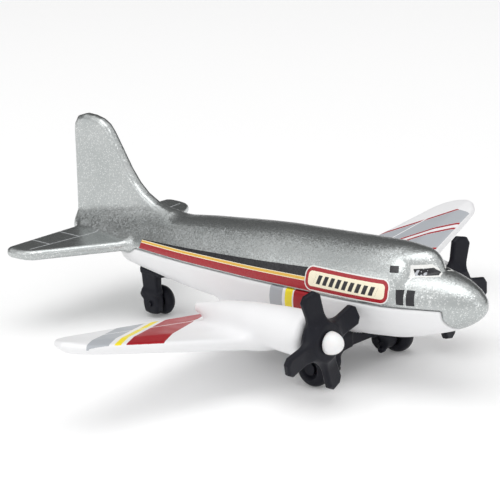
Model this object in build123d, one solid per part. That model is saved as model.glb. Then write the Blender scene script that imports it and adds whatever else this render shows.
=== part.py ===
from build123d import *
import os
from math import radians, tan

# Die-cast toy airliner with two propellers, in millimetres.
# The nose points along +X, port is +Y, up is +Z. The three wheels stand on Z = 0,
# and the origin is on the ground under the middle of the model.

# ---------------------------------------------------------------- driving dimensions
NOSE_X = 50.0
TAIL_X = -50.0
WALL = 1.3                     # wall of both castings
SEAM_Z = 14.8                  # level at X = 0 where the upper and lower castings meet
SEAM_RAKE = 1.07               # degrees by which that joint rises towards the nose
LOWER_FRONT_X = 44.2           # ahead of this the nose cap is all upper casting
LOWER_REAR_X = -28.6           # behind this the tailplane's root is all upper casting

# fuselage stations: x, half width, level of the widest line, rise above it, drop below it
FUSELAGE = [
    (TAIL_X + 0.4, 1.1, 14.3, 1.3, 1.5),
    (-44.0, 2.4, 14.3, 2.8, 2.6),
    (-37.0, 3.7, 14.2, 4.2, 3.6),
    (-28.0, 5.1, 14.2, 5.5, 5.0),
    (-10.0, 7.2, 14.6, 7.2, 7.2),
    (10.0, 8.2, 15.2, 8.2, 8.2),
    (25.0, 8.25, 15.7, 8.25, 8.2),
    (33.0, 7.9, 16.0, 8.1, 7.8),
    (37.5, 7.1, 16.1, 7.6, 7.0),
    (41.0, 5.9, 16.0, 5.5, 5.9),
    (45.0, 4.2, 16.0, 4.2, 4.4),
    (48.3, 2.3, 16.0, 2.4, 2.5),
    (NOSE_X, 0.7, 16.0, 0.7, 0.7),
]

# wing
SEMI_SPAN = 52.1
WING_ROOT_Y = 8.0              # the centre section is level out to here
ROOT_LE_X = 20.65
ROOT_TE_X = -5.7
TIP_LE_X = 9.7
TIP_TE_X = 1.25
WING_Z = 6.6                   # mid-plane of the centre section
DIHEDRAL = 11.2
ROOT_THICK = 3.2
TIP_THICK = 1.8
TIP_LE_ROUND = 4.0
TIP_TE_ROUND = 3.4

# tail surfaces
STAB_SEMI_SPAN = 21.2
STAB_Z = 14.5
STAB_THICK = 1.8
FIN_THICK = 2.1
FIN_TOP_Z = 37.2

# engines and propellers
ENGINE_Y = 17.1
PROP_X = 29.9                  # plane of the propeller disc
PROP_Z = 11.4
PROP_RADIUS = 9.1
BLADE_COUNT = 4
BLADE_WIDTH = 3.4
BLADE_THICK = 1.0
BLADE_PITCH = 10.0
HUB_RADIUS = 3.2
HUB_LENGTH = 3.0
STARBOARD_PHASE = 17.0         # blade angles at rest, seen from ahead
PORT_PHASE = -14.6
NACELLE_FRONT_X = 28.0
NACELLE_RADIUS = 3.9
PIN_RADIUS = 0.9
DOME_RADIUS = 1.93
RUNNING_GAP = 0.05             # radial clearance of each running fit

# wheels and legs
MAIN_WHEEL_X = 22.0
MAIN_WHEEL_Y = 10.7
MAIN_WHEEL_RADIUS = 3.3
MAIN_WHEEL_WIDTH = 3.0
TAIL_WHEEL_X = -27.3
TAIL_WHEEL_Y = 1.0
TAIL_WHEEL_RADIUS = 2.85
TAIL_WHEEL_WIDTH = 2.4
AXLE_RADIUS = 0.6
AXLE_HEAD_RADIUS = 1.1
LEG_INNER_Y = 5.8
LEG_OUTER_Y = 8.8
LEG_FOOT_RADIUS = 1.9
PLATE_BOTTOM_Z = 4.0
PLATE_HALF_WIDTH = 6.0
PLATE_REAR_X = 4.0
BEAM_REAR_X = 20.4
BEAM_FRONT_X = 23.6
BEAM_BOTTOM_Z = 5.1
TAIL_FOOT_RADIUS = 1.95
TAIL_PLATE_REAR_X = -29.6
TAIL_PLATE_REAR_Z = 8.75
TAIL_PLATE_LENGTH = 8.8
TAIL_PLATE_HALF_WIDTH = 2.4
TAIL_PLATE_RAKE = 2.6          # degrees by which the tail plate falls towards the nose

# rivets
FRONT_RIVET_X = 11.0
REAR_RIVET_X = -23.0
POST_RADIUS = 2.3
RIVET_RADIUS = 1.0
RIVET_HEAD_RADIUS = 1.8
RIVET_HEAD_HEIGHT = 0.6
RIVET_TOP_Z = 13.0
REAR_RIVET_Z = 8.4             # underside of the rear rivet's head
POST_FOOT_Z = 10.4


# ---------------------------------------------------------------- small helpers
def box(x_range, y_range, z_range):
    """A box given by its lowest and highest corner along each axis."""
    size = [high - low for low, high in (x_range, y_range, z_range)]
    middle = [(high + low) / 2 for low, high in (x_range, y_range, z_range)]
    return Pos(*middle) * Box(*size)


def rod_x(radius, x_low, x_high, y, z):
    """A cylinder along X."""
    middle = Pos((x_low + x_high) / 2, y, z)
    return middle * Rot(0, 90, 0) * Cylinder(radius, x_high - x_low)


def rod_y(radius, y_low, y_high, x, z):
    """A cylinder along Y."""
    middle = Pos(x, (y_low + y_high) / 2, z)
    return middle * Rot(90, 0, 0) * Cylinder(radius, y_high - y_low)


def rod_z(radius, z_low, z_high, x, y):
    """A cylinder along Z."""
    return Pos(x, y, (z_low + z_high) / 2) * Cylinder(radius, z_high - z_low)


def mirrored(shape):
    """The same shape on the other side of the model's plane of symmetry."""
    return mirror(shape, about=Plane.XZ)


# ---------------------------------------------------------------- fuselage
def fuselage_section(station, inset):
    """One cross-section: an upper and a lower half ellipse that share their width."""
    x, half_width, level, rise, drop = station
    plane = Plane(origin=(x, 0, level), x_dir=(0, 1, 0), z_dir=(1, 0, 0))
    width = half_width - inset
    upper = EllipticalCenterArc((0, 0), width, rise - inset, 0, arc_size=180)
    lower = EllipticalCenterArc((0, 0), width, drop - inset, 180, arc_size=180)
    return plane * make_face(upper + lower)


def fuselage_solid(inset, stations):
    """The body of the fuselage, straight from each station to the next."""
    return loft([fuselage_section(station, inset) for station in stations], ruled=True)


def lower_region():
    """The space that belongs to the lower casting."""
    return Pos(0, 0, SEAM_Z) * Rot(0, -SEAM_RAKE, 0) * box((LOWER_REAR_X, LOWER_FRONT_X), (-12, 12), (-16, 0))


# ---------------------------------------------------------------- tail
def fin_solid():
    """The fin: a swept leading edge that curls into the spine, a round top."""
    spine = (-18.0, 20.0)
    edge_low = (-29.0, 24.2)
    edge_high = (-37.2, 35.4)
    top = (-43.5, FIN_TOP_Z)
    trailing_top = (-47.0, 34.8)
    leading = Spline(spine, edge_low, edge_high, top, tangents=[(-1, 0.12), (-1, 0.02)])
    crown = TangentArc(top, trailing_top, tangent=(-1, 0.02))
    trailing = Polyline(trailing_top, (TAIL_X, 14.3), (-18.0, 14.3), spine)
    outline = make_face(leading + crown + trailing)
    return extrude(Plane.XZ * outline, FIN_THICK / 2, both=True)


def stabiliser_solid():
    """The starboard and port tailplane in one plate."""
    half = [(-27.0, 0), (-27.6, 3.2), (-38.4, 19.4), (-40.6, STAB_SEMI_SPAN), (-45.2, STAB_SEMI_SPAN),
            (-46.0, 19.8), (-46.0, 0)]
    plan = Polyline(*half) + Polyline(*[(x, -y) for x, y in reversed(half)])
    return extrude(Pos(0, 0, STAB_Z - STAB_THICK / 2) * make_face(plan), STAB_THICK)


# ---------------------------------------------------------------- wings
def wing_level(y):
    """Height of the wing's mid-plane at a distance y from the middle."""
    return WING_Z + tan(radians(DIHEDRAL)) * max(0.0, abs(y) - WING_ROOT_Y)


def edge_at(y, root_x, tip_x):
    """X of a straight leading or trailing edge at a distance y from the middle."""
    return root_x + (tip_x - root_x) * (y - WING_ROOT_Y) / (SEMI_SPAN - WING_ROOT_Y)


def wing_section(y):
    """A section of the wing: a round nose, an arched top, a flatter underside."""
    front = edge_at(y, ROOT_LE_X, TIP_LE_X)
    rear = edge_at(y, ROOT_TE_X, TIP_TE_X)
    chord = front - rear
    share = (y - WING_ROOT_Y) / (SEMI_SPAN - WING_ROOT_Y)
    thick = ROOT_THICK + (TIP_THICK - ROOT_THICK) * share
    level = wing_level(y)
    rear_half = 0.4
    peak_x = front - 0.3 * chord
    nose = (front, level)
    top = Spline(nose, (peak_x, level + thick / 2), (rear, level + rear_half),
                 tangents=[(0, 1), (-1, -0.06)])
    bottom = Spline((rear, level - rear_half), (peak_x, level - thick / 2), nose,
                    tangents=[(1, -0.04), (0, 1)])
    end = Line((rear, level + rear_half), (rear, level - rear_half))
    plane = Plane(origin=(0, y, 0), x_dir=(1, 0, 0), z_dir=(0, -1, 0))
    return plane * make_face(top + end + bottom)


def port_wing():
    """The port wing, cut to its rounded tip."""
    blank = loft([wing_section(WING_ROOT_Y), wing_section(SEMI_SPAN)], ruled=True)
    corners = [(30, 0), (edge_at(30, ROOT_LE_X, TIP_LE_X) + 3, 30), (TIP_LE_X + 0.01, SEMI_SPAN),
               (TIP_TE_X - 0.01, SEMI_SPAN), (edge_at(30, ROOT_TE_X, TIP_TE_X) - 3, 30), (-20, 0)]
    plan = make_face(Polyline(*corners, close=True))
    front_corner = plan.vertices().sort_by_distance((TIP_LE_X, SEMI_SPAN, 0))[0]
    plan = fillet(front_corner, TIP_LE_ROUND)
    rear_corner = plan.vertices().sort_by_distance((TIP_TE_X, SEMI_SPAN, 0))[0]
    plan = fillet(rear_corner, TIP_TE_ROUND)
    return blank & extrude(plan, 40)


def centre_section():
    """The level middle of the wing, which closes the belly."""
    section = wing_section(WING_ROOT_Y)
    return extrude(section, amount=2 * WING_ROOT_Y, dir=(0, -1, 0))


def port_nacelle():
    """The port engine nacelle: a round cowl that tapers away on top of the wing."""
    front_round = 1.1
    profile = Polyline((5.0, 0), (5.0, 1.4), (15.0, 3.1), (25.0, NACELLE_RADIUS),
                       (NACELLE_FRONT_X - front_round, NACELLE_RADIUS))
    shoulder = TangentArc((NACELLE_FRONT_X - front_round, NACELLE_RADIUS),
                          (NACELLE_FRONT_X, NACELLE_RADIUS - front_round), tangent=(1, 0))
    face = Polyline((NACELLE_FRONT_X, NACELLE_RADIUS - front_round), (NACELLE_FRONT_X, 0), (5.0, 0))
    body = revolve(make_face(profile + shoulder + face), Axis.X)
    return Pos(0, ENGINE_Y, PROP_Z + 0.4) * body


# ---------------------------------------------------------------- propellers
def propeller(side, phase):
    """A four-bladed propeller with a bored hub; side is -1 for starboard, 1 for port."""
    hub_back = PROP_X - HUB_LENGTH / 2
    hub_front = PROP_X + HUB_LENGTH / 2
    profile = Polyline((hub_back, 0), (hub_back, HUB_RADIUS - 0.4), (PROP_X, HUB_RADIUS),
                       (hub_front, DOME_RADIUS + 0.3), (hub_front, 0), close=True)
    hub = revolve(make_face(profile), Axis.X)
    blade_plan = RectangleRounded(BLADE_WIDTH, PROP_RADIUS - 1.0, 1.0)
    blade = extrude(blade_plan, BLADE_THICK / 2, both=True)
    blade = Rot(90, 0, 0) * blade
    blade = Rot(0, 0, 90 + BLADE_PITCH) * blade
    blade = Pos(PROP_X, 0, 1.0 + (PROP_RADIUS - 1.0) / 2) * blade
    body = hub
    for index in range(BLADE_COUNT):
        body = body + Rot(phase + index * 360 / BLADE_COUNT, 0, 0) * blade
    bore = rod_x(PIN_RADIUS + RUNNING_GAP, hub_back - 5, hub_front + 5, 0, 0)
    return Pos(0, side * ENGINE_Y, PROP_Z) * (body - bore)


def spinner_pin(side):
    """The domed pin that a propeller turns on; its shank is driven into the nacelle."""
    dome_back = PROP_X + HUB_LENGTH / 2 + 0.2
    dome_height = 2.1
    shank_end = NACELLE_FRONT_X - 7.0
    sphere_radius = (DOME_RADIUS ** 2 + dome_height ** 2) / (2 * dome_height)
    sphere = Pos(dome_back + dome_height - sphere_radius, 0, 0) * Sphere(sphere_radius)
    dome = sphere & box((dome_back, dome_back + 5), (-5, 5), (-5, 5))
    pin = dome + rod_x(PIN_RADIUS, shank_end, dome_back + 0.3, 0, 0)
    return Pos(0, side * ENGINE_Y, PROP_Z) * pin


# ---------------------------------------------------------------- wheels
def wheel(radius, width, hub_radius, bore_radius):
    """A one-piece wheel about the Y axis: domed tyre, dished hub on both faces."""
    half = width / 2
    shoulder = 0.28 * width
    dish = 0.3 * width
    tread = ThreePointArc((radius - 0.35, -shoulder), (radius, 0), (radius - 0.35, shoulder))
    outer_wall = ThreePointArc((radius - 0.35, shoulder), (radius - 0.8, half - 0.15),
                               (hub_radius + 0.35, half))
    inner_wall = ThreePointArc((hub_radius + 0.35, -half), (radius - 0.8, -half + 0.15),
                               (radius - 0.35, -shoulder))
    rest = Polyline((hub_radius + 0.35, half), (hub_radius, half - dish), (bore_radius, half - dish),
                    (bore_radius, dish - half), (hub_radius, dish - half), (hub_radius + 0.35, -half))
    profile = make_face(tread + outer_wall + rest + inner_wall)
    return revolve(profile, Axis.Y)


def main_wheel(side):
    body = wheel(MAIN_WHEEL_RADIUS, MAIN_WHEEL_WIDTH, 1.7, AXLE_RADIUS + RUNNING_GAP)
    return Pos(MAIN_WHEEL_X, side * MAIN_WHEEL_Y, MAIN_WHEEL_RADIUS) * body


def tail_wheel():
    body = wheel(TAIL_WHEEL_RADIUS, TAIL_WHEEL_WIDTH, 1.5, AXLE_RADIUS + RUNNING_GAP)
    return Pos(TAIL_WHEEL_X, TAIL_WHEEL_Y, TAIL_WHEEL_RADIUS) * body


def port_axle():
    """The port main axle: a pin through the leg, with a head in the wheel's dish."""
    head_y = MAIN_WHEEL_Y + 0.2 * MAIN_WHEEL_WIDTH + 0.2
    shank = rod_y(AXLE_RADIUS, LEG_INNER_Y - 0.5, head_y + 0.2, MAIN_WHEEL_X, MAIN_WHEEL_RADIUS)
    head = rod_y(AXLE_HEAD_RADIUS, head_y, head_y + 0.5, MAIN_WHEEL_X, MAIN_WHEEL_RADIUS)
    return shank + head


def tail_axle():
    """The tail wheel's pin: its head is in the wheel's port dish."""
    head_y = TAIL_WHEEL_Y + 0.2 * TAIL_WHEEL_WIDTH + 0.2
    shank = rod_y(AXLE_RADIUS, -2.7, head_y + 0.2, TAIL_WHEEL_X, TAIL_WHEEL_RADIUS)
    head = rod_y(AXLE_HEAD_RADIUS, head_y, head_y + 0.4, TAIL_WHEEL_X, TAIL_WHEEL_RADIUS)
    return shank + head


# ---------------------------------------------------------------- undercarriage
def port_leg():
    """One main leg: a flat arm from the beam down to a round foot about the axle."""
    foot_bottom = MAIN_WHEEL_RADIUS - LEG_FOOT_RADIUS
    foot = rod_y(LEG_FOOT_RADIUS, LEG_INNER_Y, LEG_OUTER_Y, MAIN_WHEEL_X, MAIN_WHEEL_RADIUS)
    arm = box((MAIN_WHEEL_X - LEG_FOOT_RADIUS, MAIN_WHEEL_X + LEG_FOOT_RADIUS),
              (LEG_INNER_Y, LEG_OUTER_Y), (foot_bottom + LEG_FOOT_RADIUS, BEAM_BOTTOM_Z + 1.4))
    return foot + arm


def undercarriage_frame(castings):
    """Black moulding: a plate under the wing, a beam ahead of it and two legs."""
    beam = box((BEAM_REAR_X, BEAM_FRONT_X), (-LEG_OUTER_Y, LEG_OUTER_Y), (BEAM_BOTTOM_Z, WING_Z + 2.5))
    plate = box((PLATE_REAR_X, BEAM_REAR_X + 0.2), (-PLATE_HALF_WIDTH, PLATE_HALF_WIDTH),
                (PLATE_BOTTOM_Z, WING_Z))
    haunch = box((BEAM_REAR_X + 0.4, BEAM_FRONT_X), (3.2, LEG_OUTER_Y), (2.6, BEAM_BOTTOM_Z + 0.1))
    arch = rod_x(2.6, BEAM_REAR_X - 1, BEAM_FRONT_X + 1, 3.1, 2.5)
    leg = port_leg() + (haunch - arch)
    body = beam + plate + leg + mirrored(leg)
    body = body - castings
    body = body - rod_y(AXLE_RADIUS, -20, 20, MAIN_WHEEL_X, MAIN_WHEEL_RADIUS)
    body = body - rivet_space(FRONT_RIVET_X, PLATE_BOTTOM_Z)
    return body


def tail_gear_leg(castings):
    """Black moulding: a plate along the belly and one leg beside the tail wheel."""
    plate = box((0, TAIL_PLATE_LENGTH), (-TAIL_PLATE_HALF_WIDTH, TAIL_PLATE_HALF_WIDTH), (0, 2.4))
    plate = Pos(TAIL_PLATE_REAR_X, 0, TAIL_PLATE_REAR_Z) * Rot(0, TAIL_PLATE_RAKE, 0) * plate
    foot = rod_y(TAIL_FOOT_RADIUS, -2.2, -0.55, TAIL_WHEEL_X, TAIL_WHEEL_RADIUS)
    arm = box((TAIL_WHEEL_X - 1.8, TAIL_WHEEL_X + 1.8), (-2.2, -0.55), (TAIL_WHEEL_RADIUS, 9.4))
    collar = box((TAIL_WHEEL_X - 2.1, TAIL_WHEEL_X + 1.9), (-2.5, -0.55), (4.7, 5.4))
    body = plate + foot + arm + collar - castings
    body = body - rod_y(AXLE_RADIUS, -5, 5, TAIL_WHEEL_X, TAIL_WHEEL_RADIUS)
    body = body - rivet_space(REAR_RIVET_X, REAR_RIVET_Z)
    return body


# ---------------------------------------------------------------- rivets
def rivet(x, head_z):
    """A rivet whose head sits flush in the underside at head_z."""
    shank = rod_z(RIVET_RADIUS, head_z, RIVET_TOP_Z, x, 0)
    head = rod_z(RIVET_HEAD_RADIUS, head_z, head_z + RIVET_HEAD_HEIGHT, x, 0)
    return shank + head


def rivet_space(x, head_z):
    """The hole and counterbore that a rivet fills."""
    return rivet(x, head_z) + rod_z(RIVET_HEAD_RADIUS, head_z - 3, head_z + 0.1, x, 0)


# ---------------------------------------------------------------- castings
outer = fuselage_solid(0, FUSELAGE)
hollow = fuselage_solid(WALL, FUSELAGE[2:-2])
shell = outer - hollow

posts = Part()
feet = Part()
for post_x in (FRONT_RIVET_X, REAR_RIVET_X):
    posts = posts + (rod_z(POST_RADIUS, POST_FOOT_Z, 30, post_x, 0) & outer)
    feet = feet + (rod_z(POST_RADIUS, 0, POST_FOOT_Z, post_x, 0) & outer)
rivet_holes = rivet_space(FRONT_RIVET_X, PLATE_BOTTOM_Z) + rivet_space(REAR_RIVET_X, REAR_RIVET_Z)

tail_surfaces = stabiliser_solid() + fin_solid() - hollow - lower_region()
upper = (shell - lower_region()) + posts + tail_surfaces
upper = upper - rivet_holes

wing = port_wing() + port_nacelle()
lower = (shell & lower_region()) + feet + (centre_section() - hollow)
lower = lower + (wing - outer) + (mirrored(wing) - outer)
lower = lower - rivet_holes
for side in (-1, 1):
    lower = lower - rod_x(PIN_RADIUS, NACELLE_FRONT_X - 7.0, NACELLE_FRONT_X + 1, side * ENGINE_Y, PROP_Z)
castings = outer + centre_section() + wing + mirrored(wing)

# ---------------------------------------------------------------- pieces
pieces = {
    "upper_fuselage": upper,
    "lower_fuselage_and_wings": lower,
    "undercarriage_frame": undercarriage_frame(castings),
    "tail_gear_leg": tail_gear_leg(castings),
    "main_wheel_starboard": main_wheel(-1),
    "main_wheel_port": main_wheel(1),
    "main_axle_starboard": mirrored(port_axle()),
    "main_axle_port": port_axle(),
    "tail_wheel": tail_wheel(),
    "tail_axle": tail_axle(),
    "propeller_starboard": propeller(-1, STARBOARD_PHASE),
    "propeller_port": propeller(1, PORT_PHASE),
    "spinner_pin_starboard": spinner_pin(-1),
    "spinner_pin_port": spinner_pin(1),
    "front_rivet": rivet(FRONT_RIVET_X, PLATE_BOTTOM_Z),
    "rear_rivet": rivet(REAR_RIVET_X, REAR_RIVET_Z),
}

os.makedirs("parts", exist_ok=True)
for name, piece in pieces.items():
    export_step(piece, f"parts/{name}.step")
    print(name, len(piece.solids()), round(piece.volume, 1), piece.is_valid)
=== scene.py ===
import math

import bmesh
import bpy
import numpy as np
from mathutils import Matrix, Vector


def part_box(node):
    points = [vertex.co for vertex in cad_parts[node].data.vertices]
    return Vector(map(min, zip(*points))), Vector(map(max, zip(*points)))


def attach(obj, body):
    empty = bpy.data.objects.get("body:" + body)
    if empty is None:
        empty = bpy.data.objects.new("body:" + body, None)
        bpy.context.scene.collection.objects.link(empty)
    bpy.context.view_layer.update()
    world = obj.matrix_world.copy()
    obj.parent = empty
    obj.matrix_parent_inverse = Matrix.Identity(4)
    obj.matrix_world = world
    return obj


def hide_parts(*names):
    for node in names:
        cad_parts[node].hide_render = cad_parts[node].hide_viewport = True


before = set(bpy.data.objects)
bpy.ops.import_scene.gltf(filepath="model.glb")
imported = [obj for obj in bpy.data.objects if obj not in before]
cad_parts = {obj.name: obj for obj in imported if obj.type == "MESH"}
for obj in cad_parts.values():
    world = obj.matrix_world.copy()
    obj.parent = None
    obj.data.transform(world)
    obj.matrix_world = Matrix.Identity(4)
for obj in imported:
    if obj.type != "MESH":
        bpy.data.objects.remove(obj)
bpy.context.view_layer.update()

MM = 0.001
SEAM_Z, SEAM_RAKE = 14.8, 0.0187     # the castings part at this level, which rises forwards
SEAM_GAP = 0.09
NOSE_X = 50.0
TAIL_X, TAIL_ROUND = -47.9, 0.8


# ------------------------------------------------------------------ distance fields
# Every casting is the zero surface of a field: a function of x, y, z in millimetres that is
# below zero inside the metal. Joining fields softly gives the fillets of a die casting.
def soft_min(a, b, radius):
    """The union of two fields, with a fillet where they meet."""
    mix = np.clip(0.5 + 0.5 * (b - a) / radius, 0, 1)
    return b + (a - b) * mix - radius * mix * (1 - mix)


def soft_max(a, b, radius):
    """What two fields have in common, with a rounded edge where they meet."""
    return -soft_min(-a, -b, radius)


def slab(value, low, high):
    """Distance outside the range low to high."""
    return np.maximum(low - value, value - high)


def smooth_curve(knots, values):
    """A curve through the points that keeps their rise and fall, without overshoot."""
    knots, values = np.array(knots, float), np.array(values, float)
    step = np.diff(knots)
    rate = np.diff(values) / step
    slope = np.zeros(len(knots))
    slope[0], slope[-1] = rate[0], rate[-1]
    same = rate[:-1] * rate[1:] > 0
    slope[1:-1][same] = (2 * rate[:-1] * rate[1:] / (rate[:-1] + rate[1:] + 1e-12))[same]

    def curve(x):
        x = np.clip(x, knots[0], knots[-1])
        index = np.clip(np.searchsorted(knots, x) - 1, 0, len(step) - 1)
        width = step[index]
        t = (x - knots[index]) / width
        start = (1 + 2 * t) * (1 - t) ** 2 * values[index] + t * (1 - t) ** 2 * width * slope[index]
        end = t * t * (3 - 2 * t) * values[index + 1] + t * t * (t - 1) * width * slope[index + 1]
        return start + end

    return curve


def plan_distance(u, v, corners):
    """Signed distance to a polygon, in its own plane."""
    nearest = np.full(np.broadcast(u, v).shape, 1e9)
    sign = np.ones(nearest.shape)
    for (u0, v0), (u1, v1) in zip(corners, corners[-1:] + corners[:-1]):
        eu, ev = u1 - u0, v1 - v0
        wu, wv = u - u0, v - v0
        along = np.clip((wu * eu + wv * ev) / (eu * eu + ev * ev), 0, 1)
        nearest = np.minimum(nearest, (wu - eu * along) ** 2 + (wv - ev * along) ** 2)
        above, below = v >= v0, v < v1
        left = eu * wv > ev * wu
        flip = (above & below & left) | (~above & ~below & ~left)
        sign = np.where(flip, -sign, sign)
    return sign * np.sqrt(nearest)


def round_slab(flat, height, half_height, radius):
    """A plate: flat is the distance in its plane, height the distance from its mid-plane."""
    across = flat + radius
    up = np.abs(height) - half_height + radius
    outside = np.hypot(np.maximum(across, 0), np.maximum(up, 0))
    return outside + np.minimum(np.maximum(across, up), 0) - radius


def round_rod(u, v, along, radius, low, high, edge):
    """A rod of that radius about u = v = 0, from low to high along its axis."""
    return round_slab(np.hypot(u, v) - radius, along - (low + high) / 2, (high - low) / 2, edge)


def tapered_strip(u, v, start, start_radius, end, end_radius):
    """Distance to the hull of two circles whose centres lie at those places along u."""
    length = start - end
    ahead = start - u
    slope = (start_radius - end_radius) / length
    cosine = np.sqrt(1 - slope * slope)
    v = np.abs(v)
    k = -slope * v + cosine * ahead
    side = cosine * v + slope * ahead - start_radius
    near = np.hypot(v, ahead) - start_radius
    far = np.hypot(v, ahead - length) - end_radius
    return np.where(k < 0, near, np.where(k > cosine * length, far, side))


# ------------------------------------------------------------------ the airframe's shape
def back_from_nose(x):
    """A measure that turns straight tapers into a round nose."""
    return np.sqrt(np.maximum(NOSE_X - x, 0))


STATION_X = [50.0, 48.3, 45.0, 41.0, 37.5, 33.0, 25.0, 10.0, -10.0, -28.0, -37.0, -44.0, -49.8]
HALF_WIDTH = [0.0, 2.5, 4.3, 5.75, 6.95, 7.9, 8.25, 8.2, 7.2, 5.1, 3.7, 2.5, 1.5]
LEVEL = [16.2, 16.15, 16.05, 16.0, 16.0, 15.95, 15.7, 15.2, 14.6, 14.2, 14.1, 14.2, 14.3]
DROP = [0.0, 2.6, 4.4, 5.8, 6.9, 7.75, 8.2, 8.2, 7.2, 5.0, 3.6, 2.4, 1.6]
NOSE_RISE = [0.0, 2.4, 4.0, 4.9, 5.2, 5.4, 5.5, 5.5, 5.5, 5.0, 4.1, 2.8, 1.6]
CABIN_X = [50.0, 42.2, 41.7, 41.2, 40.6, 39.9, 38.5, 36.5, 34.0, 30.0, 25.0, 10.0, -10.0,
           -28.0, -37.0, -44.0, -49.8]
CABIN_RISE = [0.0, 3.4, 4.5, 5.6, 6.6, 7.3, 7.9, 8.1, 8.3, 8.35, 8.3, 8.2, 7.2,
              5.4, 4.2, 2.9, 1.7]
WINDSCREEN_SWEEP, MOST_SWEEP = 0.25, 3.5     # how the windscreen curves back to the sides
LEAST_SIZE = 0.05     # keeps the sections of the nose's tip from vanishing

stations = back_from_nose(np.array(STATION_X))
half_width_at = smooth_curve(stations, HALF_WIDTH)
level_at = smooth_curve(stations, LEVEL)
drop_at = smooth_curve(stations, DROP)
nose_rise_at = smooth_curve(stations, NOSE_RISE)
cabin_rise_at = smooth_curve(back_from_nose(np.array(CABIN_X)), CABIN_RISE)


def fuselage(x, y, z):
    """The body: two half ellipses a station, with a step where the windscreen stands."""
    s = back_from_nose(x)
    wide = np.maximum(half_width_at(s), LEAST_SIZE)
    swept = back_from_nose(x + np.minimum(WINDSCREEN_SWEEP * y * y, MOST_SWEEP))
    rise = np.maximum(np.maximum(nose_rise_at(s), cabin_rise_at(swept)), LEAST_SIZE)
    drop = np.maximum(drop_at(s), LEAST_SIZE)
    up = z - level_at(s)
    tall = np.where(up > 0, rise, drop)
    ratio = np.sqrt((y / wide) ** 2 + (up / tall) ** 2) + 1e-6
    steep = np.sqrt((y / wide ** 2) ** 2 + (up / tall ** 2) ** 2) + 1e-6
    body = ratio * (ratio - 1) / steep
    body = np.where(x > NOSE_X, np.hypot(np.hypot(x - NOSE_X, y), up), body)
    return soft_max(body, TAIL_X - x, TAIL_ROUND)


FIN_OUTLINE = [(-18.0, 18.0), (-21.5, 20.8), (-26.0, 22.2), (-28.8, 23.6), (-30.9, 25.4),
               (-32.8, 27.8), (-34.9, 31.2), (-36.9, 34.3), (-38.0, 35.6), (-39.6, 36.5),
               (-41.6, 36.95), (-43.9, 37.1), (-45.9, 36.5), (-46.9, 35.1), (-47.2, 33.6),
               (-47.8, 15.0), (-46.0, 13.0)]
FIN_HALF_THICK, FIN_THICKENING, FIN_THIN_Z = 1.1, 0.02, 30
STAB_OUTLINE = [(-24.0, 0.0), (-28.0, 3.9), (-38.2, 19.0), (-39.0, 20.1), (-40.3, 20.8),
                (-42.0, 21.1), (-44.4, 21.15), (-45.3, 20.8), (-45.8, 20.0), (-46.1, 3.0),
                (-46.1, -3.0)]
STAB_Z = 14.5
STAB_HALF_THICK = 0.95
TAIL_EDGE_ROUND = 0.85
FIN_FILLET, STAB_FILLET = 2.6, 1.6
SEAM_STEP_X, SEAM_STEP_LENGTH, SEAM_STEP_DROP = -27.5, 2, 0.9     # down, under the tailplane
LOWER_FRONT_X, FRONT_SLOPE, FRONT_CURVE = 44.35, 0.25, 0.13
LOWER_REAR_X, LOWER_REAR_Z, REAR_SLOPE = -40.0, 13.4, 0.8


def fin(x, y, z):
    """The fin, a little thicker at its foot than at its top."""
    half = FIN_HALF_THICK + FIN_THICKENING * np.maximum(FIN_THIN_Z - z, 0)
    return round_slab(plan_distance(x, z, FIN_OUTLINE), y, half, TAIL_EDGE_ROUND)


def stabilisers(x, y, z):
    flat = plan_distance(x, np.abs(y), STAB_OUTLINE)
    return round_slab(flat, z - STAB_Z, STAB_HALF_THICK, TAIL_EDGE_ROUND)


def lower_zone(x, z):
    """Below zero where the body belongs to the lower casting."""
    step = SEAM_STEP_DROP * np.clip((SEAM_STEP_X - x) / SEAM_STEP_LENGTH, 0, 1)
    seam = SEAM_Z + SEAM_RAKE * x - step
    depth = np.maximum(seam - z, 0)
    front = LOWER_FRONT_X - FRONT_SLOPE * depth + FRONT_CURVE * depth ** 2
    rear = LOWER_REAR_X + REAR_SLOPE * (LOWER_REAR_Z - z)
    return soft_max(soft_max(z - seam, (x - front) * 0.9, 0.35), (rear - x) * 0.8, 0.6)


def upper_casting(x, y, z):
    """The silver casting: top of the body with the nose cap, the fin and the tailplane."""
    body = soft_max(fuselage(x, y, z), SEAM_GAP - lower_zone(x, z), 0.25)
    return soft_min(soft_min(body, fin(x, y, z), FIN_FILLET), stabilisers(x, y, z), STAB_FILLET)


WING_ROOT_Y, SEMI_SPAN = 8.0, 51.6
WING_Z, DIHEDRAL = 6.6, math.tan(math.radians(11.2))
ROOT_FRONT_X, FRONT_TAPER = 20.65, 10.95
ROOT_REAR_X, REAR_TAPER = -5.7, 6.95
CREST_SHARE = 0.24     # of the chord, from the nose of a section to its thickest place
WING_FLATTEN, TIP_ROUND = 0.98, 1.2
WING_OUTLINE = [(30.0, 0.0), (23.0, 0.0), (20.65, 8.0), (11.3, 45.4), (10.0, 49.0), (8.2, 50.9),
                (6.0, 51.6), (3.8, 51.1), (2.0, 49.6), (0.9, 47.0), (-5.7, 8.0), (-7.0, 0.0)]


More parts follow.
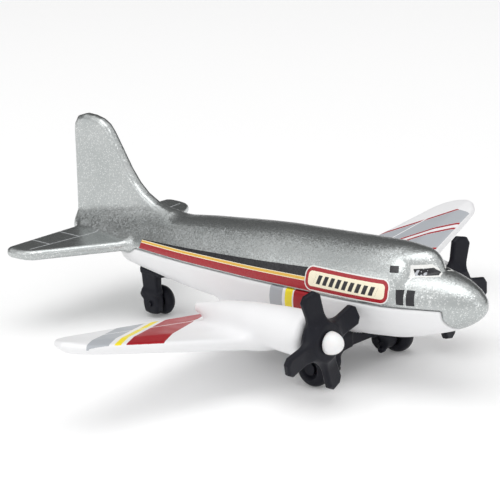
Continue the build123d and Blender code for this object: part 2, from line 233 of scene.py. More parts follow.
def wing(x, y, z):
    """A wing panel: hull of three circles across each section, thickest near the front."""
    out = np.abs(y)
    share = (out - WING_ROOT_Y) / (SEMI_SPAN - WING_ROOT_Y)
    front = ROOT_FRONT_X - FRONT_TAPER * share
    rear = ROOT_REAR_X + REAR_TAPER * share
    chord = front - rear
    height = z - WING_Z - DIHEDRAL * np.maximum(out - WING_ROOT_Y, 0)
    nose, peak, tail = 1.25 - 0.45 * share, 1.75 - 0.75 * share, 0.5 - 0.05 * share
    crest = front - nose - CREST_SHARE * chord
    fore = tapered_strip(x, height, front - nose, nose, crest, peak)
    aft = tapered_strip(x, height, crest, peak, rear + tail, tail)
    section = np.minimum(fore, aft) * WING_FLATTEN
    return soft_max(section, plan_distance(x, out, WING_OUTLINE), TIP_ROUND)


ENGINE_Y, ENGINE_Z = 17.1, 11.8
NACELLE_FRONT, NACELLE_REAR = 28.0, 1.0
COWL_X = [2.0, 8.0, 15.0, 22.0, 27.0]
COWL_RADIUS = [0.9, 2.3, 3.25, 3.75, 3.95]
PROP_X, PROP_Z, PROP_RADIUS = 29.9, 11.4, 8.95
PIN_HOLE_RADIUS, PIN_HOLE_END = 0.92, 24.0
NACELLE_FILLET, WING_FILLET = 2.4, 3.2


def nacelle(x, y, z):
    """An engine cowl: round in front, it tapers away on top of the wing."""
    out = np.abs(y) - ENGINE_Y
    around = np.hypot(out, z - ENGINE_Z) - np.interp(x, COWL_X, COWL_RADIUS)
    return soft_max(soft_max(around, x - NACELLE_FRONT, 1.6), NACELLE_REAR - x, 1.0)


def lower_casting(x, y, z):
    """The white casting: belly, wings and nacelles, with a hole for each propeller's pin."""
    body = soft_max(fuselage(x, y, z), SEAM_GAP + lower_zone(x, z), 0.3)
    wings = soft_min(wing(x, y, z), nacelle(x, y, z), NACELLE_FILLET)
    whole = soft_min(body, wings, WING_FILLET)
    pin_hole = np.hypot(np.abs(y) - ENGINE_Y, z - PROP_Z) - PIN_HOLE_RADIUS
    return np.maximum(whole, -np.maximum(pin_hole, PIN_HOLE_END - x))


# ------------------------------------------------------------------ meshes from fields
def new_object(name, verts, faces, smooth=True):
    mesh = bpy.data.meshes.new(name)
    mesh.from_pydata(verts.tolist() if hasattr(verts, "tolist") else verts, [], faces)
    mesh.polygons.foreach_set("use_smooth", [smooth] * len(mesh.polygons))
    mesh.update()
    piece = bpy.data.objects.new(name, mesh)
    bpy.context.scene.collection.objects.link(piece)
    return piece


def field_mesh(name, field, low, high, step, passes=3):
    """The closed surface on which a field is zero, as a mesh of even quads."""
    axes = [np.arange(a - step, b + 2 * step, step) for a, b in zip(low, high)]
    grid = np.meshgrid(*axes, indexing="ij", sparse=True)
    value = field(*grid).astype(np.float32)
    inside = value < 0
    shape = np.array(value.shape)
    total = np.zeros(tuple(shape - 1) + (3,), np.float32)
    count = np.zeros(tuple(shape - 1), np.float32)
    corners = [(i, j, k) for i in (0, 1) for j in (0, 1) for k in (0, 1)]

    def part(array, corner):
        return array[tuple(slice(c, n - 1 + c) for c, n in zip(corner, shape))]

    for axis in range(3):
        for corner in (c for c in corners if c[axis] == 0):
            other = tuple(c + (a == axis) for a, c in enumerate(corner))
            first, second = part(value, corner), part(value, other)
            crossed = (first < 0) != (second < 0)
            share = np.where(crossed, first / np.where(crossed, first - second, 1), 0)
            for a in range(3):
                total[..., a] += crossed * (corner[a] + (share if a == axis else 0))
            count += crossed
    active = count > 0
    number = np.full(active.shape, -1, np.int64)
    number[active] = np.arange(active.sum())
    cells = np.argwhere(active)
    origin = np.array([a[0] for a in axes])
    points = origin + step * (cells + total[active] / count[active][:, None])
    faces = []
    for axis in range(3):
        b, c = (axis + 1) % 3, (axis + 2) % 3
        ahead = tuple(slice(1, None) if a == axis else slice(None) for a in range(3))
        behind = tuple(slice(None, -1) if a == axis else slice(None) for a in range(3))
        change = inside[ahead].astype(np.int8) - inside[behind].astype(np.int8)
        spots = np.argwhere(change != 0)
        spots = spots[(spots[:, b] > 0) & (spots[:, c] > 0)]
        turn = change[tuple(spots.T)]
        ring = []
        for db, dc in ((0, 0), (1, 0), (1, 1), (0, 1)):
            at = spots.copy()
            at[:, b] -= db
            at[:, c] -= dc
            ring.append(number[tuple(at.T)])
        quads = np.stack(ring, 1)
        quads[turn > 0] = quads[turn > 0][:, ::-1]
        faces.append(quads)
    faces = np.concatenate(faces)
    for _ in range(passes):
        points = onto_surface(field, points, step)
    return new_object(name, points * MM, faces.tolist())


def onto_surface(field, points, step):
    """Moves each point along the field's slope to where the field is zero."""
    x, y, z = points.T
    tiny = 0.02
    here = field(x, y, z)
    slope = np.stack([field(x + tiny, y, z) - field(x - tiny, y, z),
                      field(x, y + tiny, z) - field(x, y - tiny, z),
                      field(x, y, z + tiny) - field(x, y, z - tiny)], 1) / (2 * tiny)
    size = np.maximum((slope ** 2).sum(1), 0.05)
    move = -here / size
    shift = slope * np.clip(move, -0.5 * step, 0.5 * step)[:, None]
    return points + shift


def turned(name, outline, centre, axis, segments=72, ring_shaped=False):
    """A turned piece: outline is (along the axis, radius), from end to end or round a ring."""
    verts, faces = [], []
    for along, radius in outline:
        for index in range(segments):
            angle = 2 * math.pi * index / segments
            a, b = radius * math.cos(angle), radius * math.sin(angle)
            spot = {"x": (along, a, b), "y": (b, along, a)}[axis]
            verts.append([(c + s) * MM for c, s in zip(centre, spot)])
    rings = len(outline)
    for ring in range(rings if ring_shaped else rings - 1):
        here, there = ring * segments, (ring + 1) % rings * segments
        for index in range(segments):
            after = (index + 1) % segments
            faces.append([here + index, here + after, there + after, there + index])
    if not ring_shaped:
        faces.append(list(range(segments))[::-1])
        faces.append([(rings - 1) * segments + index for index in range(segments)])
    piece = new_object(name, verts, faces)
    shape = bmesh.new()
    shape.from_mesh(piece.data)
    bmesh.ops.recalc_face_normals(shape, faces=shape.faces)
    shape.to_mesh(piece.data)
    shape.free()
    return piece


# ------------------------------------------------------------------ shader arithmetic
class Value:
    """A number that varies over a surface; arithmetic on it adds nodes to the material."""

    def __init__(self, tree, socket):
        self.tree, self.socket = tree, socket

    def calc(self, kind, *others):
        node = self.tree.nodes.new("ShaderNodeMath")
        node.operation = kind
        for slot, item in zip(node.inputs, (self,) + others):
            if isinstance(item, Value):
                self.tree.links.new(item.socket, slot)
            else:
                slot.default_value = item
        return Value(self.tree, node.outputs[0])

    def __add__(self, other):
        return self.calc("ADD", other)

    def __sub__(self, other):
        return self.calc("SUBTRACT", other)

    def __mul__(self, other):
        return self.calc("MULTIPLY", other)

    def __and__(self, other):
        return self.calc("MINIMUM", other)

    def __or__(self, other):
        return self.calc("MAXIMUM", other)

    def __lt__(self, other):
        return self.calc("LESS_THAN", other)

    def __gt__(self, other):
        return self.calc("GREATER_THAN", other)

    def __abs__(self):
        return self.calc("ABSOLUTE")

    def within(self, low, high):
        return (self > low) & (self < high)


class Paint:
    """A node material: one Principled shader and the arithmetic that feeds it."""

    def __init__(self, name, **settings):
        self.material = bpy.data.materials.new(name)
        self.material.use_nodes = True
        self.tree = self.material.node_tree
        self.shader = self.tree.nodes["Principled BSDF"]
        for key, value in settings.items():
            self.shader.inputs[key.replace("_", " ")].default_value = value
        place = self.tree.nodes.new("ShaderNodeTexCoord")
        self.place = place.outputs["Object"]
        split = self.tree.nodes.new("ShaderNodeSeparateXYZ")
        self.tree.links.new(self.place, split.inputs[0])
        self.x, self.y, self.z = (Value(self.tree, out) * 1000.0 for out in split.outputs)

    def noise(self, size_mm, detail=2.0, rough=0.5):
        """Noise with features of about that size, from 0 to 1."""
        node = self.tree.nodes.new("ShaderNodeTexNoise")
        self.tree.links.new(self.place, node.inputs["Vector"])
        node.inputs["Scale"].default_value = 1000.0 / size_mm
        node.inputs["Detail"].default_value = detail
        node.inputs["Roughness"].default_value = rough
        return Value(self.tree, node.outputs["Fac"])

    def cells(self, size_mm):
        """Random cells of about that size; returns the node."""
        node = self.tree.nodes.new("ShaderNodeTexVoronoi")
        self.tree.links.new(self.place, node.inputs["Vector"])
        node.inputs["Scale"].default_value = 1000.0 / size_mm
        return node

    def scale(self, value, low, high, to_low, to_high):
        node = self.tree.nodes.new("ShaderNodeMapRange")
        self.tree.links.new(value.socket, node.inputs["Value"])
        ranges = {"From Min": low, "From Max": high, "To Min": to_low, "To Max": to_high}
        for key, number in ranges.items():
            node.inputs[key].default_value = number
        return Value(self.tree, node.outputs[0])

    def blend(self, mask, first, second):
        """first where mask is 0, second where it is 1; both are colours or colour sockets."""
        node = self.tree.nodes.new("ShaderNodeMix")
        node.data_type = "RGBA"
        self.tree.links.new(mask.socket, node.inputs[0])
        for slot, item in ((node.inputs[6], first), (node.inputs[7], second)):
            if isinstance(item, tuple):
                slot.default_value = (*item, 1)
            else:
                self.tree.links.new(item, slot)
        return node.outputs[2]

    def feed(self, key, source):
        socket = source.socket if isinstance(source, Value) else source
        self.tree.links.new(socket, self.shader.inputs[key])

    def bump(self, height, strength, distance_mm, into="Normal", base=None):
        node = self.tree.nodes.new("ShaderNodeBump")
        node.inputs["Strength"].default_value = strength
        node.inputs["Distance"].default_value = distance_mm * MM
        self.tree.links.new(height.socket, node.inputs["Height"])
        if base is not None:
            self.tree.links.new(base, node.inputs["Normal"])
        self.tree.links.new(node.outputs[0], self.shader.inputs[into])
        return node.outputs[0]


def rounded_box(u, v, half_u, half_v, radius):
    """Distance outside a rounded rectangle about u = v = 0, as a shader value."""
    du = (abs(u) - (half_u - radius)) | 0.0
    dv = (abs(v) - (half_v - radius)) | 0.0
    return (du * du + dv * dv).calc("SQRT") - radius


# ------------------------------------------------------------------ materials
RED = (0.37, 0.009, 0.017)
GOLD = (0.79, 0.47, 0.07)
YELLOW = (0.95, 0.78, 0.03)
GREY = (0.44, 0.46, 0.49)
BLACK = (0.012, 0.012, 0.015)
INK_WHITE = (0.82, 0.82, 0.80)
CREAM = (0.93, 0.86, 0.66)

# printed marks on the silver casting, in millimetres; SIGN is the plate on its side
SIDE_Y = 3.0
STRIPE_REAR, STRIPE_FRONT = -26.08, 20.0
SIGN_X, SIGN_Z, SIGN_RAKE = 27.0, 17.82, 0.0134
SIGN_HALF_LENGTH, SIGN_HALF_HEIGHT, SIGN_CORNER = 8.85, 2.05, 1.5
SIGN_RIM, SIGN_BORDER = 0.2, 0.8
BAR_PITCH, BAR_WIDTH, BAR_SLANT = 0.7, 0.42, 0.35
BARS_ALONG, BARS_UP = (20.4, 33.6), (17.0, 18.5)
CODE_BARS, CODE_UP, CODE_SLANT = ((37.2, 38.45), (38.85, 40.2)), (16.15, 18.55), 0.13
WINDOW_X, WINDOW_Z, WINDOW_SLANT = 35.55, 21.4, 0.47
HINGE_HALF_WIDTH = 0.1
FLAP_LINES = (8.1, 14.8)


def silver_paint():
    """Silver lacquer full of metal flake, with the printed stripes, plate and windows."""
    paint = Paint("silver_flake_paint", Roughness=0.29, Coat_Roughness=0.12, Coat_Weight=0.08)
    ripple = (paint.noise(0.35) - 0.5) * 0.06
    x, z = paint.x + ripple, paint.z + ripple
    cloud = paint.noise(9.0, 3.0)
    flake = paint.cells(0.16)
    base = paint.blend(paint.scale(cloud, 0.3, 0.7, 0, 1), (0.46, 0.485, 0.48), (0.53, 0.55, 0.545))
    speck = paint.tree.nodes.new("ShaderNodeSeparateColor")
    paint.tree.links.new(flake.outputs["Color"], speck.inputs[0])
    random_value = Value(paint.tree, speck.outputs[0])
    base = paint.blend((random_value > 0.8) * 0.45, base, (0.42, 0.45, 0.46))
    base = paint.blend((random_value < 0.14) * 0.4, base, (0.97, 0.98, 0.97))

    height = z - SEAM_Z - x * SEAM_RAKE
    on_side = abs(paint.y) > SIDE_Y
    stripes = (x > height * 0.45 + STRIPE_REAR) & (x < STRIPE_FRONT) & on_side
    red_top = x * 0.0095 + 1.77
    gold_top = x * 0.0125 + 2.4
    black_top = x * 0.0445 + 3.33
    printed = (height > 0.4) & (height < (gold_top | black_top)) & stripes
    base = paint.blend(printed, base, BLACK)
    base = paint.blend(printed & (height < gold_top), base, CREAM)
    base = paint.blend(printed & (height < gold_top - 0.1), base, GOLD)
    base = paint.blend(printed & (height < red_top + 0.12), base, CREAM)
    base = paint.blend(printed & (height < red_top), base, RED)

    sign = rounded_box(x - SIGN_X, z - SIGN_Z - (x - SIGN_X) * SIGN_RAKE,
                       SIGN_HALF_LENGTH, SIGN_HALF_HEIGHT, SIGN_CORNER)
    sign_mask = (sign < 0.0) & on_side
    base = paint.blend(sign_mask, base, INK_WHITE)
    base = paint.blend((sign < -SIGN_RIM) & on_side, base, RED)
    base = paint.blend((sign < -SIGN_BORDER) & on_side, base, CREAM)
    lean = x - (z - 17.75) * BAR_SLANT
    bars = (lean - 21.4).calc("PINGPONG", BAR_PITCH) < BAR_WIDTH
    bars = bars & lean.within(*BARS_ALONG) & z.within(*BARS_UP) & on_side
    base = paint.blend(bars, base, BLACK)

    upright = x + (z - CODE_UP[0]) * CODE_SLANT
    code = (upright.within(*CODE_BARS[0]) | upright.within(*CODE_BARS[1])) & z.within(*CODE_UP)
    code = code & on_side
    base = paint.blend(code, base, BLACK)

    slanted = x - WINDOW_X + (z - WINDOW_Z) * WINDOW_SLANT
    small_window = (rounded_box(slanted, z - WINDOW_Z, 0.7, 0.48, 0.12) < 0.0) & on_side
    base = paint.blend(small_window, base, BLACK)

    off_centre = abs(paint.y) > 0.7
    level = z - (x - 38.2) * 0.065
    rim = level.within(20.18, 22.0) & (x + z * 0.18 > 41.4) & (x + z * 1.14 < 65.55) & off_centre
    pane = level.within(20.33, 21.42) & (x + z * 0.4 > 46.55) & (x + z * 1.19 < 66.3) & off_centre
    base = paint.blend(rim, base, INK_WHITE)
    base = paint.blend(pane, base, BLACK)
    # painted reflection: blotchy pale blue-grey patches over the rear of the black window panes stand in
    # for light reflected off the panes
    painted_pane_reflection = pane & (paint.noise(0.5, 1.0) > 0.5) & (x < 40.0)
    base = paint.blend(painted_pane_reflection * 0.8, base, (0.6, 0.62, 0.66))

    out = abs(paint.y)
    behind_hinge = x + out * 0.1 + 38.6
    cross = (abs(out - FLAP_LINES[0]) < HINGE_HALF_WIDTH) | (abs(out - FLAP_LINES[1]) < HINGE_HALF_WIDTH)
    elevator = (abs(behind_hinge) < HINGE_HALF_WIDTH) | (cross & (behind_hinge < 0.0))
    elevator = elevator & out.within(3.6, 19.3) & z.within(14.8, 15.8)
    base = paint.blend(elevator, base, (0.62, 0.64, 0.65))
    ink = printed | sign_mask | code | small_window | rim | elevator

    paint.feed("Base Color", base)
    paint.feed("Metallic", paint.scale(ink, 0, 1, 0.92, 0.0))
    tilt = paint.tree.nodes.new("ShaderNodeVectorMath")
    tilt.operation = "MULTIPLY_ADD"
    paint.tree.links.new(flake.outputs["Color"], tilt.inputs[0])
    tilt.inputs[1].default_value = (0.2, 0.2, 0.2)
    offset = paint.tree.nodes.new("ShaderNodeVectorMath")
    offset.operation = "ADD"
    shape = paint.tree.nodes.new("ShaderNodeNewGeometry")
    paint.tree.links.new(shape.outputs["Normal"], offset.inputs[0])
    offset.inputs[1].default_value = (-0.1, -0.1, -0.1)
    paint.tree.links.new(offset.outputs[0], tilt.inputs[2])
    unit = paint.tree.nodes.new("ShaderNodeVectorMath")
    unit.operation = "NORMALIZE"
    paint.tree.links.new(tilt.outputs[0], unit.inputs[0])
    peel = paint.noise(1.6, 1.0) + elevator * -0.8
    paint.bump(peel, 0.05, 0.05, base=unit.outputs[0])
    paint.bump(paint.noise(2.2, 1.0), 0.05, 0.06, into="Coat Normal")
    return paint.material


def white_paint():
    """Gloss white paint on the lower casting, with printed bands."""
    paint = Paint("white_gloss_paint", Specular_IOR_Level=0.3)
    ripple = (paint.noise(0.35) - 0.5) * 0.06
    x, y, z = paint.x + ripple, paint.y, paint.z
    out = abs(y)
    cloud = paint.noise(14.0, 2.0)
    base = paint.blend(cloud, (0.80, 0.80, 0.815), (0.86, 0.86, 0.865))

    on_belly = (out < 9.0) & (z > 8.6)
    belly_x = x + (z * -0.37 + 5.55)
    grey_band = belly_x.within(10.35, 13.25) & on_belly
    yellow_band = belly_x.within(13.9, 15.55) & on_belly
    red_band = belly_x.within(15.85, 21.0) & on_belly

    level = out * DIHEDRAL + (WING_Z - DIHEDRAL * WING_ROOT_Y)
    on_top = (z > level) & (out > 11.0)
    front = out * (-FRONT_TAPER / 44.0) + 22.0
    on_top = on_top & (x < front)
    slant = x * 1.53 - out
    starboard = y < 0.0
    red_wing = slant.within(-25.1, -16.0) & on_top & starboard
    yellow_wing = slant.within(-27.9, -26.3) & on_top & starboard
    grey_wing = slant.within(-34.6, -29.2) & on_top & starboard

    port = (y > 0.0) & out.within(30.5, 46.5)
    blocks = (slant.within(-34.0, -25.0) | slant.within(-21.0, -11.0)) & on_top & port
    edges = (abs(slant + 34.6) < 0.5) | (abs(slant + 24.4) < 0.5) | (abs(slant + 21.6) < 0.5)
    edges = (edges | (abs(slant + 10.4) < 0.5)) & on_top & port

    base = paint.blend(grey_band | grey_wing | blocks, base, GREY)
    base = paint.blend(yellow_band | yellow_wing, base, YELLOW)
    base = paint.blend(red_band | red_wing | edges, base, RED)
    hinge = (abs(x - (out * 0.117 - 0.75)) < 0.14) & on_top & out.within(16.0, 43.5)
    base = paint.blend(hinge, base, (0.86, 0.86, 0.865))
    paint.feed("Base Color", base)
    paint.feed("Roughness", paint.scale(paint.noise(3.0, 3.0), 0.3, 0.7, 0.3, 0.38))
    peel = paint.noise(1.8, 1.0) + hinge * -3.0
    paint.bump(peel, 0.1, 0.04)
    return paint.material


def black_plastic(name, grain_mm=0.5):
    """Satin black moulding, a little paler and rougher where it has been handled."""
    paint = Paint(name, Specular_IOR_Level=0.18)
    cloud = paint.noise(5.0, 4.0)
    fine = paint.noise(grain_mm, 3.0)
    base = paint.blend(cloud, (0.006, 0.006, 0.010), (0.011, 0.012, 0.018))
    base = paint.blend(paint.scale(fine, 0.62, 0.75, 0, 0.35), base, (0.028, 0.028, 0.036))
    paint.feed("Base Color", base)
    paint.feed("Roughness", paint.scale(cloud + fine * 0.5, 0.5, 1.0, 0.34, 0.5))
    paint.bump(fine, 0.22, 0.08)
    return paint.material


def white_plastic():
    """Satin white moulding of the propeller pins."""
    paint = Paint("white_pin_plastic", Subsurface_Weight=0.06, Subsurface_Scale=0.002)
    cloud = paint.noise(1.5, 3.0)
    paint.feed("Base Color", paint.blend(cloud, (0.80, 0.80, 0.80), (0.87, 0.87, 0.865)))
    paint.feed("Roughness", paint.scale(cloud, 0.3, 0.7, 0.3, 0.42))
    paint.bump(paint.noise(0.4, 2.0), 0.12, 0.05)
    return paint.material


def worn_metal(name, low, high):
    """Upset metal with fine scratches."""
    paint = Paint(name, Metallic=1.0)
    scratch = paint.noise(0.12, 4.0, 0.7)
    paint.feed("Base Color", paint.blend(paint.noise(0.8, 3.0), low, high))
    paint.feed("Roughness", paint.scale(scratch, 0.3, 0.7, 0.22, 0.45))
    paint.bump(scratch, 0.3, 0.03)
    return paint.material


silver = silver_paint()
white = white_paint()
black = black_plastic("black_satin_plastic")
tyre_black = black_plastic("black_wheel_plastic", 0.35)
pin_white = white_plastic()
rivet_metal = worn_metal("rivet_alloy", (0.50, 0.50, 0.52), (0.66, 0.66, 0.68))


def finish_piece(piece, material, body, node):
    """Gives a piece its material, hangs it from its body's empty and hides the CAD node that it stands for.
    """
    piece.data.materials.append(material)
    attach(piece, body)
    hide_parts(node)
    return piece


# ------------------------------------------------------------------ castings
coarse = 0.34
upper = field_mesh("upper_casting", upper_casting, (-50, -21.5, 9), (50.2, 21.5, 37.6), coarse)
finish_piece(upper, silver, "airframe", "upper_fuselage")
lower = field_mesh("lower_casting", lower_casting, (-32, -52.3, 3.5), (48.5, 52.3, 17), coarse)
finish_piece(lower, white, "airframe", "lower_fuselage_and_wings")

# ------------------------------------------------------------------ propellers
HUB_RADIUS, HUB_TAPER, HUB_HALF_LENGTH = 3.2, 0.28, 1.45
HUB_CAP = 1.55     # no fillet reaches past this, so a hub clears its nacelle and its pin's head
BLADE_TWIST = math.radians(10)
BLADE_HALF_WIDTH, BLADE_FLARE, BLADE_HALF_THICK = 1.45, 0.05, 0.62
BLADE_MIDDLE, BLADE_CORNER = 4.6, 0.9
BLADE_FILLET = 2.2
BORE_RADIUS = 0.95
PIN_RADIUS, PIN_TAIL = 0.9, -8.0
HEAD_BACK, HEAD_FOOT_RADIUS, HEAD_EDGE = 1.75, 1.7, 1.8
DOME_RADIUS, DOME_LENGTH = 1.93, 2.5


def propeller_field(phase):
    """Hub and four twisted blades; the blades run into the hub in wide curves."""
    def field(x, y, z):
        across = np.hypot(y, z)
        hub_edge = HUB_RADIUS - HUB_TAPER * np.maximum(x, 0)
        whole = soft_max((across - hub_edge) * 0.95, np.abs(x) - HUB_HALF_LENGTH, 0.6)
        for index in range(4):
            turn = math.radians(phase + 90 * index)
            along = z * math.cos(turn) - y * math.sin(turn)
            side = y * math.cos(turn) + z * math.sin(turn)
            lean = np.cos(BLADE_TWIST) * side + np.sin(BLADE_TWIST) * x
            depth = -np.sin(BLADE_TWIST) * side + np.cos(BLADE_TWIST) * x
            half = BLADE_HALF_WIDTH + BLADE_FLARE * np.clip(along, 0, 9)
            box_u = np.abs(lean) - half
            box_v = np.abs(along - BLADE_MIDDLE) - (PROP_RADIUS - BLADE_MIDDLE)
            reach = np.abs(lean) + np.maximum(along - BLADE_MIDDLE, 0)
            corner = (reach - (half + PROP_RADIUS - BLADE_MIDDLE - BLADE_CORNER)) * 0.7071
            flat = np.maximum(soft_max(box_u, box_v, 0.4), corner)
            blade = round_slab(flat, depth, BLADE_HALF_THICK, 0.42)
            whole = soft_min(whole, blade, BLADE_FILLET)
        whole = soft_max(whole, np.abs(x) - HUB_CAP, 0.2)
        return np.maximum(whole, BORE_RADIUS - across)
    return field


prop_step = 0.15
for word, side, phase in (("starboard", -1, 17.0), ("port", 1, -14.6)):
    hub_centre = (PROP_X, side * ENGINE_Y, PROP_Z)
    blades = field_mesh("propeller_" + word + "_blades", propeller_field(phase),
                        (-2.2, -9.3, -9.3), (2.2, 9.3, 9.3), prop_step)
    blades.data.transform(Matrix.Translation(Vector(hub_centre) * MM))
    finish_piece(blades, black, word + "_propeller", "propeller_" + word)
    dome = [(PIN_TAIL, PIN_RADIUS), (HEAD_BACK, PIN_RADIUS), (HEAD_BACK, HEAD_FOOT_RADIUS)]
    dome += [(HEAD_EDGE + DOME_LENGTH * math.sin(a), DOME_RADIUS * math.cos(a))
             for a in np.radians(np.linspace(0, 86, 16))]
    pin = turned("spinner_pin_" + word + "_dome", dome, hub_centre, "x")
    finish_piece(pin, pin_white, "airframe", "spinner_pin_" + word)


# ------------------------------------------------------------------ wheels
WHEEL_BORE = 0.66


def wheel_outline(radius, half, hub, bore):
    """Half section of a wheel, from the bore of one face round the tyre to the other."""
    face = half - 0.3
    tyre = [(bore, face - 0.55), (hub - 0.55, face - 0.55), (hub - 0.3, face - 0.4),
            (hub - 0.1, face - 0.05), (hub + 0.15, half - 0.06), (hub + 0.4, half),
            (radius - 0.95, half - 0.04), (radius - 0.5, half - 0.2), (radius - 0.2, half - 0.55),
            (radius - 0.05, half - 0.95), (radius, 0.25), (radius, 0)]
    right = [(y, r) for r, y in tyre]
    return right + [(-y, r) for y, r in reversed(right[:-1])]


def wheel_piece(node, body, half, hub):
    """A wheel where its CAD node lies and of the same radius; returns its centre."""
    low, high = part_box(node)
    centre = tuple((low + high) / 2 / MM)
    ring = wheel_outline((high.z - low.z) / 2 / MM, half, hub, WHEEL_BORE)
    piece = turned(node + "_tyre", ring, centre, "y", 96, ring_shaped=True)
    rounding = piece.modifiers.new("round", "SUBSURF")
    rounding.levels = rounding.render_levels = 1
    finish_piece(piece, tyre_black, body, node)
    return centre


for word in ("starboard", "port"):
    wheel_piece("main_wheel_" + word, word + "_wheel", half=1.48, hub=1.75)
tail_centre = wheel_piece("tail_wheel", "rear_wheel", half=1.18, hub=1.5)

# ------------------------------------------------------------------ undercarriage
WHEEL_X, WHEEL_Z = 22.0, 3.3
BEAM_X, BEAM_Z, BEAM_REACH = (20.5, 23.5), (5.1, 8.6), 8.8
PLATE_X, PLATE_Z, PLATE_HALF_WIDTH, PLATE_HALF_THICK = (4.2, 20.8), 5.2, 5.9, 1.15
FOOT_RADIUS, FOOT_Y = 1.85, (5.9, 8.75)
ARM_X, ARM_Y, ARM_Z, ARM_HALF_THICK = (20.4, 23.6), 7.35, (3.2, 7.0), 1.45
ARCH_Y, ARCH_Z, ARCH_RADIUS = 3.1, 2.5, 2.7
PLASTIC_GAP = 0.04     # between a black moulding and the castings
MOULDING_STEP = 0.24


def undercarriage(x, y, z):
    """Beam, two legs with round feet, and the plate under the wing."""
    out = np.abs(y)
    beam = round_slab(np.maximum(slab(x, *BEAM_X), slab(z, *BEAM_Z)), out, BEAM_REACH, 0.35)
    plate_flat = np.maximum(slab(x, *PLATE_X), slab(y, -PLATE_HALF_WIDTH, PLATE_HALF_WIDTH))
    plate = round_slab(plate_flat, z - PLATE_Z, PLATE_HALF_THICK, 0.4)
    foot = round_rod(x - WHEEL_X, z - WHEEL_Z, out, FOOT_RADIUS, *FOOT_Y, 0.35)
    arm_side = np.maximum(slab(x, *ARM_X), slab(z, *ARM_Z))
    arm = round_slab(arm_side, out - ARM_Y, ARM_HALF_THICK, 0.35)
    arch = soft_max(np.maximum(slab(x, 20.6, 23.4), slab(out, 3.0, 8.0)) * 0.95,
                    soft_max(slab(z, 2.6, 7.0), ARCH_RADIUS - np.hypot(out - ARCH_Y, z - ARCH_Z), 0.3), 0.3)
    nub = round_rod(x - WHEEL_X - 0.6, z - 1.75, out, 0.55, 5.3, 6.4, 0.2)
    leg = soft_min(soft_min(foot, arm, 0.5), soft_min(arch, nub, 0.4), 0.5)
    whole = soft_min(soft_min(beam, leg, 0.8), plate, 0.6)
    castings = np.minimum(lower_casting(x, y, z), fuselage(x, y, z))
    return np.maximum(whole, PLASTIC_GAP - castings)


frame_piece = field_mesh("undercarriage_moulding", undercarriage, (3.8, -9.2, 1.2), (24.2, 9.2, 9),
                         MOULDING_STEP)
finish_piece(frame_piece, black, "airframe", "undercarriage_frame")

TAIL_WHEEL_X, TAIL_WHEEL_Z = tail_centre[0], tail_centre[2]
TAIL_PLATE_X, TAIL_PLATE_TOP, TAIL_PLATE_HALF_WIDTH = (-29.5, -23.6), 11.0, 2.35
TAIL_PLATE_REAR_X, TAIL_PLATE_REAR_Z, TAIL_PLATE_RAKE = -29.6, 8.75, 0.0454
LEG_Y, LEG_Z, LEG_HALF_THICK, LEG_HALF_LENGTH = -1.4, (-1.9, 6.6), 0.8, 1.75
TAIL_FOOT_RADIUS, TAIL_FOOT_Y = 1.95, (-2.2, -0.6)


def tail_gear(x, y, z):
    """A thin plate along the belly and one rounded leg beside the tail wheel."""
    ahead, up = x - TAIL_WHEEL_X, z - TAIL_WHEEL_Z
    underside = TAIL_PLATE_REAR_Z - TAIL_PLATE_RAKE * (x - TAIL_PLATE_REAR_X)
    plate_side = np.maximum(slab(x, *TAIL_PLATE_X), np.maximum(underside - z, z - TAIL_PLATE_TOP))
    plate = round_slab(plate_side, y, TAIL_PLATE_HALF_WIDTH, 0.25)
    leg_side = np.maximum(np.abs(ahead + 0.1) - LEG_HALF_LENGTH - 0.06 * up, slab(up, *LEG_Z))
    leg = round_slab(leg_side, y - LEG_Y, LEG_HALF_THICK, 0.4)
    foot = round_rod(ahead, up, y, TAIL_FOOT_RADIUS, *TAIL_FOOT_Y, 0.4)
    collar = round_slab(np.maximum(slab(ahead, -2.1, 1.9), slab(up, 1.9, 2.6)), y + 1.5, 0.95, 0.35)
    nub = round_rod(ahead + 1.9, up - 1.6, y, 0.7, -2.4, -0.9, 0.3)
    whole = soft_min(soft_min(leg, foot, 0.7), soft_min(collar, nub, 0.5), 0.6)
    whole = soft_min(whole, plate, 0.5)
    return np.maximum(whole, PLASTIC_GAP - fuselage(x, y, z))


leg_piece = field_mesh("tail_gear_moulding", tail_gear, (-30.2, -3.0, 0.4), (-20.3, 3.0, 11.2),
                       MOULDING_STEP)
finish_piece(leg_piece, black, "airframe", "tail_gear_leg")


# ------------------------------------------------------------------ axles and rivets
for node in ("main_axle_starboard", "main_axle_port", "tail_axle"):
    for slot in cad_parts[node].material_slots:
        slot.material = black
for node in ("front_rivet", "rear_rivet"):
    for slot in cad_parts[node].material_slots:
        slot.material = rivet_metal


# ------------------------------------------------------------------ studio
FLOOR_REACH = 30     # metres from the middle of the floor to an edge


def studio_floor():
    """A plain pale floor, wide enough to fill a low view."""
    paint = Paint("studio_floor_paint", Roughness=0.85, Emission_Strength=0.1)
    cloud = paint.noise(400.0, 2.0)
    paint.feed("Base Color", paint.blend(cloud, (0.90, 0.90, 0.90), (0.92, 0.92, 0.92)))
    corners = [(a * FLOOR_REACH, b * FLOOR_REACH, 0) for a, b in ((-1, -1), (1, -1), (1, 1), (-1, 1))]
    floor = new_object("studio_floor", corners, [(0, 1, 2, 3)], smooth=False)
    floor.data.materials.append(paint.material)


def soft_box(name, place, size, power):
    """A round lamp that faces the model."""
    lamp = bpy.data.lights.new(name, "AREA")
    lamp.shape = "DISK"
    lamp.size = size
    lamp.energy = power
    box = bpy.data.objects.new(name, lamp)
    box.location = place
    box.rotation_euler = (Vector(LAMP_TARGET) - Vector(place)).to_track_quat("-Z", "Y").to_euler()
    bpy.context.scene.collection.objects.link(box)


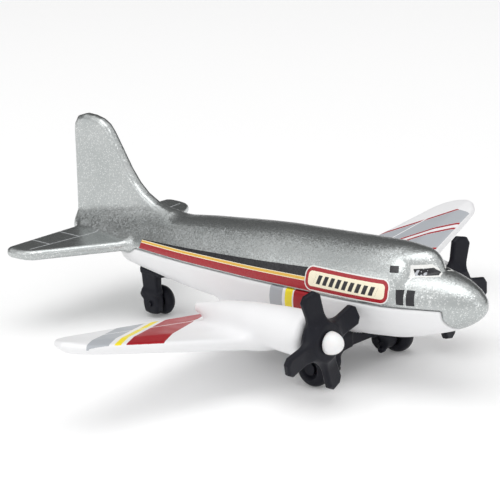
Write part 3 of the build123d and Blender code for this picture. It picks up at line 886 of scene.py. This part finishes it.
def studio_air(strength, shade):
    """Even light from all round, with a dark side opposite the camera."""
    world = bpy.data.worlds.new("studio")
    world.use_nodes = True
    bpy.context.scene.world = world
    tree = world.node_tree
    background = tree.nodes["Background"]
    background.inputs["Strength"].default_value = strength
    place = tree.nodes.new("ShaderNodeTexCoord")
    split = tree.nodes.new("ShaderNodeSeparateXYZ")
    tree.links.new(place.outputs["Generated"], split.inputs[0])
    x, y, z = (Value(tree, out) for out in split.outputs)
    away = (y - x) * 0.85 - z
    ramp = tree.nodes.new("ShaderNodeMapRange")
    ramp.interpolation_type = "SMOOTHSTEP"
    tree.links.new(away.socket, ramp.inputs["Value"])
    ramp.inputs["From Min"].default_value = -0.12
    ramp.inputs["From Max"].default_value = 0.12
    ramp.inputs["To Min"].default_value = 1.0
    ramp.inputs["To Max"].default_value = shade
    tree.links.new(ramp.outputs[0], background.inputs["Color"])


LAMP_TARGET = (0, 0, 0.015)
studio_floor()
studio_air(0.85, 0.07)
soft_box("overhead_box", (0.05, -0.15, 0.9), 0.9, 3.1)
soft_box("front_box", (0.75, -0.25, 0.35), 0.35, 0.35)
soft_box("side_box", (-0.35, -0.8, 0.45), 0.6, 0.8)


# ------------------------------------------------------------------ camera
AZIMUTH, ELEVATION, ROLL = math.radians(45.0), math.radians(16.375), math.radians(-3.083)
CAMERA_AT = (228.2, -230.6, 112.8)     # millimetres
SENSOR_WIDTH, FOCAL_LENGTH = 36.0, 137.84
camera_data = bpy.data.cameras.new("camera")
camera_data.sensor_width = SENSOR_WIDTH
camera_data.lens = FOCAL_LENGTH
camera = bpy.data.objects.new("camera", camera_data)
forward = Vector((-math.cos(ELEVATION) * math.sin(AZIMUTH),
                  math.cos(ELEVATION) * math.cos(AZIMUTH), -math.sin(ELEVATION)))
level_right = Vector((math.cos(AZIMUTH), math.sin(AZIMUTH), 0))
level_up = level_right.cross(forward)
right = level_right * math.cos(ROLL) + level_up * math.sin(ROLL)
up = right.cross(forward)
turn = Matrix((right, up, -forward)).transposed().to_4x4()
camera.matrix_world = Matrix.Translation(Vector(CAMERA_AT) * MM) @ turn
camera_data.clip_start = 0.01
bpy.context.scene.collection.objects.link(camera)
bpy.context.scene.camera = camera
bpy.context.scene.view_settings.view_transform = "Standard"
